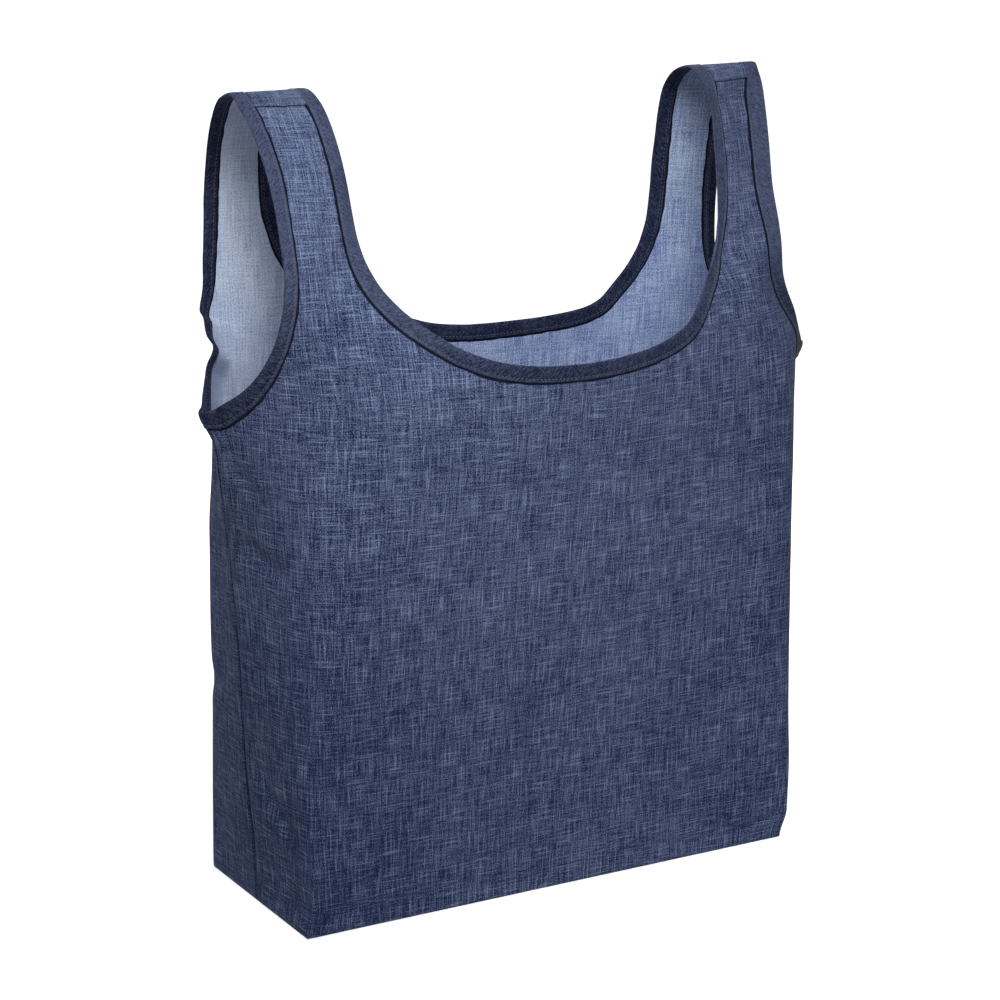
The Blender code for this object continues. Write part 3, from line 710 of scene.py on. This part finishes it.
tape_dark, tape_light = (0.003, 0.006, 0.022, 1), (0.112, 0.138, 0.240, 1)
NECK_STATIONS = 360
neck_line = [
    [(half, half.neck, 1, NECK_STATIONS) for half in pair]
    for pair in ((left_front, left_back), (right_back, right_front))
]
neck_look = bias_tape("Neck tape", 101.0, tape_dark, tape_light)
neck_tape = lay_tape("neck_tape", tape_ring(neck_line, TAPE_FOLD), neck_look)
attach(neck_tape, "root")
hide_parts("neck_binding")


# Turned-under edges: the raw edges of the tape are folded in below it, and a
# little of that fold shows as a line along each hem. It is the same navy cloth,
# coloured near black as painted shadow for the shadow line under each hem.
TURNING = [(0.0080, 0.00050), (0.0092, 0.00048), (0.0104, 0.00046), (0.0113, 0.00044)]
TURNING_THICKNESS = 0.0002


def turned_edge(name, pairs, look):
    """Narrow strips under both hems of a tape, wider and narrower as the fold wanders."""
    strips = []
    for face in (1, -1):
        ring = tape_ring(pairs, [(reach, face * rise) for reach, rise in TURNING], wander=0.0007)
        strips.append(lay_tape(f"{name}_{len(strips)}", ring[:, ::face], look, TURNING_THICKNESS))
    return join(name, strips)


def dark_cloth(name, colour):
    made, shader, flat = cloth_finish(name, 0.9)
    speckle = flat.slubs(0.0012, 0.0012, 7.0, 1.0)
    tone = (0.5 + speckle).kept()
    darker = tuple(0.5 * part for part in colour[:3]) + (1,)
    tone.blend(darker, colour).feed(shader, "Base Color")
    return made


# Near-black colour: painted shadow for the shadow line under each hem
hem_painted_shadow = dark_cloth("Turned edge painted shadow", (0.007, 0.009, 0.020, 1))
neck_turning = turned_edge("neck_turning", neck_line, hem_painted_shadow)
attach(neck_turning, "root")


# Neck stitching: one row of navy thread along each hem of the tape, sewn right
# through tape and cloth, so it shows on both faces.
STITCH_PITCH, STITCH_LENGTH, THREAD = 0.0028, 0.0021, 0.00034
HEM_STITCH = 0.0076


def sew(name, rows, look, pitch=STITCH_PITCH, length=STITCH_LENGTH, thread=THREAD):
    """Rows of stitches: one stitch modelled once, then copied along each (line, away) pair."""
    bpy.ops.mesh.primitive_uv_sphere_add(segments=6, ring_count=4, radius=1, calc_uvs=False)
    made = bpy.context.object
    one = np.array([vertex.co[:] for vertex in made.data.vertices])
    faces = [tuple(face.vertices) for face in made.data.polygons]
    places, copies = [], []
    for line, away in rows:
        reach = lengths_along(line)
        at = (np.arange(int(reach[-1] / pitch)) + 0.5) * pitch

        def along(values, where):
            return np.stack([np.interp(where, reach, values[:, k]) for k in range(3)], axis=1)

        centre = along(line, at)
        ahead = unit(along(line, at + 0.0006) - along(line, at - 0.0006))
        across = unit(np.cross(along(away, at), ahead))
        rise = np.cross(ahead, across)
        shape = one * (thread * 0.8, thread * 0.55, length / 2)
        for c, x, y, z in zip(centre, across, rise, ahead):
            first = len(places) * len(one)
            copies += [tuple(first + corner for corner in face) for face in faces]
            places.append(c + shape[:, :1] * x + shape[:, 1:2] * y + shape[:, 2:] * z)
    mesh = bpy.data.meshes.new(name)
    mesh.from_pydata(np.concatenate(places).tolist(), [], copies)
    made.data = mesh
    made.name = name
    mesh.materials.append(look)
    bpy.ops.object.shade_smooth()
    return made


def hem_rows(runs):
    """The lines that a hem's stitches follow on the outer and the inner face of the tape."""
    rows = []
    for half, edge, turn, stations in runs:
        for face in (1, -1):
            line = tape_run(half, edge, turn, stations, [(HEM_STITCH, face * 0.00100)])[:, 0]
            above = tape_run(half, edge, turn, stations, [(HEM_STITCH, face * 0.00200)])[:, 0]
            rows.append((line, above - line))
    return rows


def thread_finish(name, colour):
    """Spun thread: nearly plain, a little lighter and darker from stitch to stitch."""
    made = bpy.data.materials.new(name)
    made.use_nodes = True
    shader = made.node_tree.nodes["Principled BSDF"]
    shader.inputs["Roughness"].default_value = 0.6
    place = Wire(made.node_tree).node("ShaderNodeTexCoord", {}, {}, "Object")
    fleck = place.node("ShaderNodeTexNoise", {}, {"Vector": place, "Scale": 900.0, "Detail": 1.0})
    darker = tuple(0.55 * part for part in colour[:3]) + (1,)
    fleck.blend(darker, colour).feed(shader, "Base Color")
    return made


navy_thread = thread_finish("Navy thread", (0.070, 0.084, 0.140, 1))
neck_stitches = sew("neck_stitches", hem_rows([run for pair in neck_line for run in pair]), navy_thread)
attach(neck_stitches, "root")


# Armhole tapes: the same bias strip round each armhole, from the side seam up
# over the strap and back down. Their ends are caught in the side seam, where
# they stand out as a small spout, and they are stitched as the neck is.
ARM_STATIONS = 340
for name, front, back, seed in (
    ("left", left_front, left_back, 131.0),
    ("right", right_front, right_back, 151.0),
):
    arm_line = [[(half, ARMHOLE, -1, ARM_STATIONS) for half in (front, back)]]
    look = bias_tape(f"{name.capitalize()} armhole tape", seed, tape_dark, tape_light)
    tape = lay_tape(f"{name}_tape", tape_ring(arm_line, TAPE_FOLD), look)
    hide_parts(f"{name}_armhole_binding")
    turning = turned_edge(f"{name}_turning", arm_line, hem_painted_shadow)
    stitches = sew(f"{name}_stitches", hem_rows(arm_line[0]), navy_thread)
    for piece in (tape, turning, stitches):
        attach(piece, "root")


# Strap seams: the back cloth's end laps over the front cloth's on top of each
# strap and is turned under, as a flat band sewn down with two rows of thread.
SEAM_LOW, SEAM_HIGH = 0.0185, 0.0012
BAND, BAND_MARGIN = 0.0005, 0.0004
BAND_COLUMNS, BAND_ROWS = 40, 12
for name, front in (("left", left_front), ("right", right_front)):
    inner = along_edge(front.neck, front, 0.965)[0] + TAPE_WIDTH + BAND_MARGIN
    outer = along_edge(ARMHOLE, front, 0.965)[0] - TAPE_WIDTH - BAND_MARGIN
    band, j, i = lay_grid(f"{name}_strap_seam", BAND_COLUMNS, BAND_ROWS)
    out = inner + (outer - inner) * j / BAND_COLUMNS
    up = front.crest - SEAM_LOW + (SEAM_LOW - SEAM_HIGH) * (i / BAND_ROWS) ** 0.8
    ripple = np.array([noise.noise((x * 160, 3.0 * front.side, 1.0)) for x in out])
    hem = 0.00035 * np.exp(-5 * i / BAND_ROWS)
    lift = CLOTH / 2 + 0.00045 + BAND / 2 + hem + 0.00015 * ripple
    band.data.vertices.foreach_set("co", front.at(out, up, lift).ravel())
    write_flat(band.data, np.stack([front.side * out, up + 0.9], axis=1))
    if front.side < 0:
        band.data.flip_normals()
    band.data.materials.append(front_cloth.data.materials[0])
    thicken(band, BAND)
    x = np.linspace(inner + 0.0008, outer - 0.0008, 60)
    stitch_lines = []
    for below_crest, rise in ((SEAM_LOW - 0.0019, 0.00150), (0.0042, 0.00125)):
        line = front.at(x, front.crest - below_crest, rise)
        stitch_lines.append((line, front.at(x, front.crest - below_crest, rise + 0.001) - line))
    stitches = sew(f"{name}_strap_stitches", stitch_lines, navy_thread)
    for piece in (band, stitches):
        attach(piece, "root")


# Seam allowances: inside the bag the two cloths' edges stand as a narrow double
# strip along each side seam and under the base, overcast with pale thread.
ALLOWANCE, ALLOWANCE_THICK = 0.0075, 0.0009
NEAR, FAR = SIDE_SEAM - 0.0022, SIDE_SEAM - 0.0022 - ALLOWANCE
# How far the strip's middle and its thread lie in from the middle of the cloth
STRIP_IN, THREAD_IN = -0.00125, 0.00062
BASE_STRIP_UP, BASE_STRIP_BACK = CLOTH + 0.0008, BASE_SEAM + 0.0008
OVERCAST_STITCH = {"pitch": 0.0016, "length": 0.0019, "thread": 0.0003}
pale_thread = thread_finish("Pale thread", (0.420, 0.470, 0.580, 1))


def lay_strip(name, near, far):
    """A flat strip between two lines of places, its weave laid along it."""
    strip, j, s = lay_grid(name, 1, len(near) - 1)
    strip.data.vertices.foreach_set("co", np.where(j[:, None] > 0, far[s], near[s]).ravel())
    write_flat(strip.data, np.stack([0.3 + ALLOWANCE * j, s * 0.003], axis=1))
    strip.data.materials.append(back_cloth.data.materials[1])
    thicken(strip, ALLOWANCE_THICK)
    return strip


def overcast(edge, side_way, away):
    """The zigzag line that the overcasting thread follows along a strip's free edge."""
    swing = (np.arange(len(edge)) % 2)[:, None]
    return edge + side_way * (0.0004 + 0.0036 * swing) + away


seam_pieces = []
for name, back in (("left", left_back), ("right", right_back)):
    up = np.linspace(0.008, 0.338, 166)
    strip = lay_strip(f"{name}_side_allowance", back.at(NEAR, up, STRIP_IN), back.at(FAR, up, STRIP_IN))
    up = np.linspace(0.009, 0.337, 330)
    edge = back.at(FAR, up, STRIP_IN)
    inside = -back.outward(FAR, up) * THREAD_IN
    toward = unit(back.at(NEAR, up, STRIP_IN) - edge)
    line = overcast(edge, toward, inside)
    seam_pieces += [strip, sew(f"{name}_overcast", [(line, inside)], pale_thread, **OVERCAST_STITCH)]

x = np.linspace(-CORNER + 0.004, CORNER - 0.004, 180)
near = np.stack([x, np.full(len(x), BASE_STRIP_BACK), np.full(len(x), BASE_STRIP_UP)], axis=1)
strip = lay_strip("base_allowance", near, near + (0, ALLOWANCE, 0))
x = np.linspace(-CORNER + 0.005, CORNER - 0.005, 380)
edge = np.stack([x, np.full(len(x), BASE_STRIP_BACK + ALLOWANCE), np.full(len(x), BASE_STRIP_UP)], axis=1)
upward = np.tile((0, 0, THREAD_IN), (len(x), 1))
line = overcast(edge, np.array([0.0, -1.0, 0.0]), upward)
seam_pieces += [strip, sew("base_overcast", [(line, upward)], pale_thread, **OVERCAST_STITCH)]
for piece in seam_pieces:
    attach(piece, "root")


# Studio: a plain pale paper floor that keeps the bag's soft shadow and runs out
# to white, under a soft white surround.
bpy.ops.object.select_all(action="DESELECT")
bpy.ops.mesh.primitive_plane_add(size=60, location=(0, 0, -0.0005))
floor = bpy.context.object
floor.name = "floor"
paper = bpy.data.materials.new("Pale paper")
paper.use_nodes = True
paper_shader = paper.node_tree.nodes["Principled BSDF"]
paper_shader.inputs["Base Color"].default_value = (0.86, 0.86, 0.86, 1)
paper_shader.inputs["Roughness"].default_value = 0.9


def seen_rays(tree):
    """1 for rays from the camera, straight or by way of gloss or glass, and 0 for light on things."""
    straight, by_gloss, by_glass = (
        Wire(tree).node("ShaderNodeLightPath", {}, {}, f"Is {kind} Ray")
        for kind in ("Camera", "Glossy", "Transmission")
    )
    return (straight + by_gloss + by_glass).kept()


NEAR_GLOW, FAR_GLOW = 0.56, 1.00
place = Wire(paper.node_tree).node("ShaderNodeTexCoord", {}, {}, "Object")
away = place.node("ShaderNodeVectorMath", {"operation": "LENGTH"}, {0: place}, "Value")
glow = seen_rays(paper.node_tree) * (NEAR_GLOW + (FAR_GLOW - NEAR_GLOW) * away.between(0.24, 0.70))
glow.blend((0, 0, 0, 1), (1, 1, 1, 1)).feed(paper_shader, "Emission Color")
paper_shader.inputs["Emission Strength"].default_value = 1.0
floor.data.materials.append(paper)

FILL = 0.15
world = bpy.data.worlds.new("Studio")
bpy.context.scene.world = world
world.use_nodes = True
surround = world.node_tree.nodes["Background"]
strength = FILL + (1 - FILL) * seen_rays(world.node_tree)
strength.feed(surround, "Strength")
surround.inputs["Color"].default_value = (1, 1, 1, 1)


# Lamps and camera: a near soft lamp high at the left front, a weak one at the
# left side and a wide one behind, and the camera at the photograph's place.
def aim(thing, place, target):
    toward = np.asarray(target, float) - np.asarray(place, float)
    back = -toward / np.linalg.norm(toward)
    right = np.cross((0, 0, 1), back)
    right /= np.linalg.norm(right)
    up = np.cross(back, right)
    thing.matrix_world = Matrix([
        [right[0], up[0], back[0], place[0]],
        [right[1], up[1], back[1], place[1]],
        [right[2], up[2], back[2], place[2]],
        [0, 0, 0, 1],
    ])


def soft_lamp(name, place, target, size, power, spread):
    data = bpy.data.lights.new(name, "AREA")
    data.shape = "SQUARE"
    data.size = size
    data.energy = power
    data.spread = math.radians(spread)
    lamp = bpy.data.objects.new(name, data)
    bpy.context.scene.collection.objects.link(lamp)
    aim(lamp, place, target)


soft_lamp("Key lamp", (-0.31, -0.77, 1.11), (0.0, -0.10, 0.38), 0.60, 2.15, 55)
soft_lamp("Left lamp", (-1.33, -0.24, 0.66), (0.0, 0.0, 0.32), 0.80, 1.6, 180)
soft_lamp("Back lamp", (0.55, 1.15, 1.00), (0.0, 0.0, 0.3), 0.80, 9.0, 180)

HEADING, TILT, ROLL, FOCUS = math.radians(30.11), math.radians(14.7), math.radians(0.29), 2902
eye = np.array([-1.0, -1.721, 0.7878])
ahead = np.array([math.sin(HEADING) * math.cos(TILT), math.cos(HEADING) * math.cos(TILT), -math.sin(TILT)])
level_right = np.array([math.cos(HEADING), -math.sin(HEADING), 0.0])
level_up = np.cross(level_right, ahead)
view_right = level_right * math.cos(ROLL) + level_up * math.sin(ROLL)
view_up = level_up * math.cos(ROLL) - level_right * math.sin(ROLL)
camera_data = bpy.data.cameras.new("Camera")
camera_data.sensor_width = 36
camera_data.lens = 36 * FOCUS / 1000
camera = bpy.data.objects.new("Camera", camera_data)
bpy.context.scene.collection.objects.link(camera)
camera.matrix_world = Matrix([
    [view_right[0], view_up[0], -ahead[0], eye[0]],
    [view_right[1], view_up[1], -ahead[1], eye[1]],
    [view_right[2], view_up[2], -ahead[2], eye[2]],
    [0, 0, 0, 1],
])
bpy.context.scene.camera = camera
bpy.context.scene.view_settings.view_transform = "Standard"
